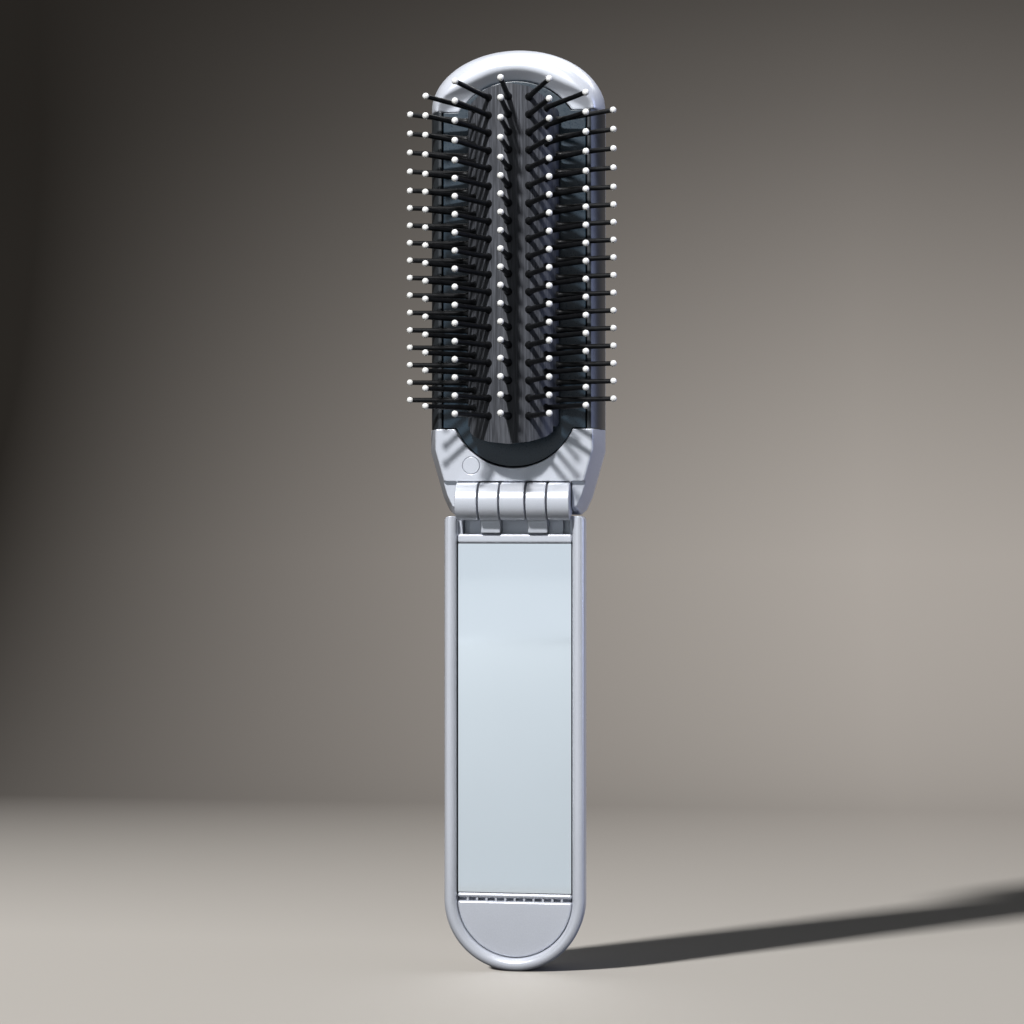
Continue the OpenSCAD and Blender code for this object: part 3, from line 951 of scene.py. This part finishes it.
class BRUSH_OT_screws(bpy.types.Operator):
    """Make the cross-head screws in the backs of the handle and the head"""

    bl_idname = "brush.screws"
    bl_label = "Screws"

    def execute(self, context):
        screw = screw_master(head_width=0.0036, head_height=0.001, shank_width=0.002, length=0.0055)
        for node in ("handle_screws", "head_screws"):
            places = [Matrix.Translation(centre) for centre in solid_centres(NODES[node])]
            group = join(copies(screw, places), node + "_set")
            stand_for(group, node, "plain_steel")
        discard(screw)
        return {"FINISHED"}


def solid_centres(node):
    """The middle of each separate solid of a node, at its farthest point back."""
    mesh = bmesh.new()
    mesh.from_mesh(node.data)
    bmesh.ops.remove_doubles(mesh, verts=mesh.verts, dist=WELD)
    left, centres = set(mesh.verts), []
    while left:
        stack, group = [left.pop()], []
        while stack:
            vert = stack.pop()
            group.append(vert)
            for edge in vert.link_edges:
                other = edge.other_vert(vert)
                if other in left:
                    left.remove(other)
                    stack.append(other)
        xs, ys, zs = ([v.co[i] for v in group] for i in range(3))
        centres.append(((min(xs) + max(xs)) / 2, max(ys), (min(zs) + max(zs)) / 2))
    mesh.free()
    return centres


# ---- Stage ----


def area_lamp(name, place, aim, size, power, tint=(1, 1, 1)):
    """A soft rectangular lamp at a place, turned to its aim."""
    lamp = bpy.data.lights.new(name, "AREA")
    lamp.shape, lamp.energy, lamp.color = "RECTANGLE", power, tint
    lamp.size, lamp.size_y = size
    holder = bpy.data.objects.new(name, lamp)
    holder.location = place
    holder.rotation_mode = "QUATERNION"
    holder.rotation_quaternion = (Vector(aim) - Vector(place)).to_track_quat("-Z", "Y")
    bpy.context.collection.objects.link(holder)
    return holder


def light_linked(lamp, floor, state):
    """The lamp lights only the floor (INCLUDE), or everything but the floor (EXCLUDE)."""
    group = bpy.data.collections.new(lamp.name + "_reach")
    group.objects.link(floor)
    group.collection_objects[0].light_linking.link_state = state
    lamp.light_linking.receiver_collection = group


class BRUSH_OT_stage(bpy.types.Operator):
    """Set up the floor and backdrop, the soft lamps and the camera"""

    bl_idname = "brush.stage"
    bl_label = "Stage"

    def execute(self, context):
        self.light(self.floor())
        self.camera(context)
        return {"FINISHED"}

    def floor(self):
        bpy.ops.object.select_all(action="DESELECT")
        front, back, width = -2.6, 0.26, 6
        bend, wall_height = 0.3, 1.5
        bpy.ops.mesh.primitive_plane_add(size=1, location=(0, (front + back) / 2, 0))
        sweep = started("studio_sweep")
        sweep.scale = (width, back - front, 1)
        set_in_place(sweep)
        edit(sweep, "EDGE")
        pick(sweep, lambda c, e: c.y > back - 0.01, "edges")
        bpy.ops.mesh.spin(steps=24, angle=-math.pi / 2, center=(0, back, bend), axis=(1, 0, 0))
        top = max(v.co.z for v in bmesh.from_edit_mesh(sweep.data).verts)
        pick(sweep, lambda c, e: c.z > top - 0.001, "edges")
        bpy.ops.mesh.extrude_region_move(TRANSFORM_OT_translate={"value": (0, 0, wall_height)})
        bpy.ops.mesh.select_all(action="SELECT")
        bpy.ops.mesh.remove_doubles(threshold=0.00001)
        leave()
        soften(sweep, 60)
        dress(sweep, "backdrop_paint")
        return sweep

    def light(self, floor):
        world = bpy.data.worlds.new("studio_air")
        world.use_nodes = True
        bpy.context.scene.world = world
        net = Net(world.node_tree)
        dim, pale = (0.045, 0.050, 0.055, 1), (0.30, 0.295, 0.29, 1)
        air = net.mix(net.looked_at("Is Camera Ray"), dim, pale)
        sky = net.add("ShaderNodeBackground", {}, {"Color": air, "Strength": 1.0})
        net.add("ShaderNodeOutputWorld", {}, {"Surface": sky})

        # The brush's lamps leave the floor alone; the card only shows in shiny surfaces
        key = area_lamp(
            "key_above_front", (-0.09, -0.51, 0.535), (0, 0, 0.13), (0.04, 0.04), 5.5,
            (0.98, 0.985, 1),
        )
        overhead = area_lamp(
            "overhead_softbox", (0.0, -0.05, 0.95), (0, 0.0, 0.15), (0.6, 0.7), 4.4,
        )
        card = area_lamp(
            "front_card", (-0.30, -1.1, 0.20), (0, 0, 0.20), (1.0, 0.40), 0.92,
            (0.84, 0.92, 1),
        )
        card.visible_diffuse = False
        side = area_lamp(
            "cool_side", (0.80, 0.14, 0.18), (0, 0, 0.12), (0.25, 0.5), 2.1,
            (0.52, 0.61, 1),
        )
        back = area_lamp("back_fill", (0.25, 0.44, 0.70), (0, 0, 0.12), (0.4, 0.4), 2.0)
        for lamp in (key, overhead, card, side, back):
            light_linked(lamp, floor, "EXCLUDE")

        # One lamp for the floor alone, which casts the brush's long shadow
        low = area_lamp(
            "low_left", (-2.64, -1.93, 2.34), (0, 0, 0.0), (0.36, 0.36), 215.0,
            (1, 0.98, 0.95),
        )
        light_linked(low, floor, "INCLUDE")

    def camera(self, context):
        turn, distance = math.radians(7), 0.45
        target = Vector((0, FOLD.y, 0.1007))
        picture, focal = 1024, 2057  # pixels
        lens = bpy.data.cameras.new("camera")
        lens.sensor_width = 36.0
        lens.lens = lens.sensor_width * focal / picture
        lens.shift_x = -0.00146
        lens.clip_start, lens.clip_end = 0.01, 20
        eye = bpy.data.objects.new("camera", lens)
        eye.location = target + distance * Vector((math.sin(turn), -math.cos(turn), 0))
        eye.rotation_euler = (math.pi / 2, 0, turn)
        context.collection.objects.link(eye)
        context.scene.camera = eye


class BRUSH_PT_pieces(bpy.types.Panel):
    """The hairbrush's pieces, sizes and colours"""

    bl_idname = "BRUSH_PT_pieces"
    bl_label = "Hairbrush"
    bl_space_type = "VIEW_3D"
    bl_region_type = "UI"
    bl_category = "Hairbrush"

    def draw(self, context):
        for operator in OPERATORS:
            self.layout.operator(operator.bl_idname)
        for group in (context.scene.brush_sizes, context.scene.brush_colours):
            for name in group.bl_rna.properties.keys():
                if name not in ("rna_type", "name"):
                    self.layout.prop(group, name)


OPERATORS = (
    BRUSH_OT_handle, BRUSH_OT_mirror, BRUSH_OT_hinge, BRUSH_OT_head, BRUSH_OT_cap,
    BRUSH_OT_tray, BRUSH_OT_bed, BRUSH_OT_tips, BRUSH_OT_screws, BRUSH_OT_stage,
)
CLASSES = (BrushSizes, BrushColours, *OPERATORS, BRUSH_PT_pieces)


def register():
    for cls in CLASSES:
        bpy.utils.register_class(cls)
    bpy.types.Scene.brush_sizes = bpy.props.PointerProperty(type=BrushSizes)
    bpy.types.Scene.brush_colours = bpy.props.PointerProperty(type=BrushColours)


def unregister():
    del bpy.types.Scene.brush_colours
    del bpy.types.Scene.brush_sizes
    for cls in reversed(CLASSES):
        bpy.utils.unregister_class(cls)


def main():
    register()
    for operator in OPERATORS:
        group, name = operator.bl_idname.split(".")
        getattr(getattr(bpy.ops, group), name)()
    bpy.context.scene.view_settings.view_transform = "Standard"


if __name__ == "__main__":
    main()
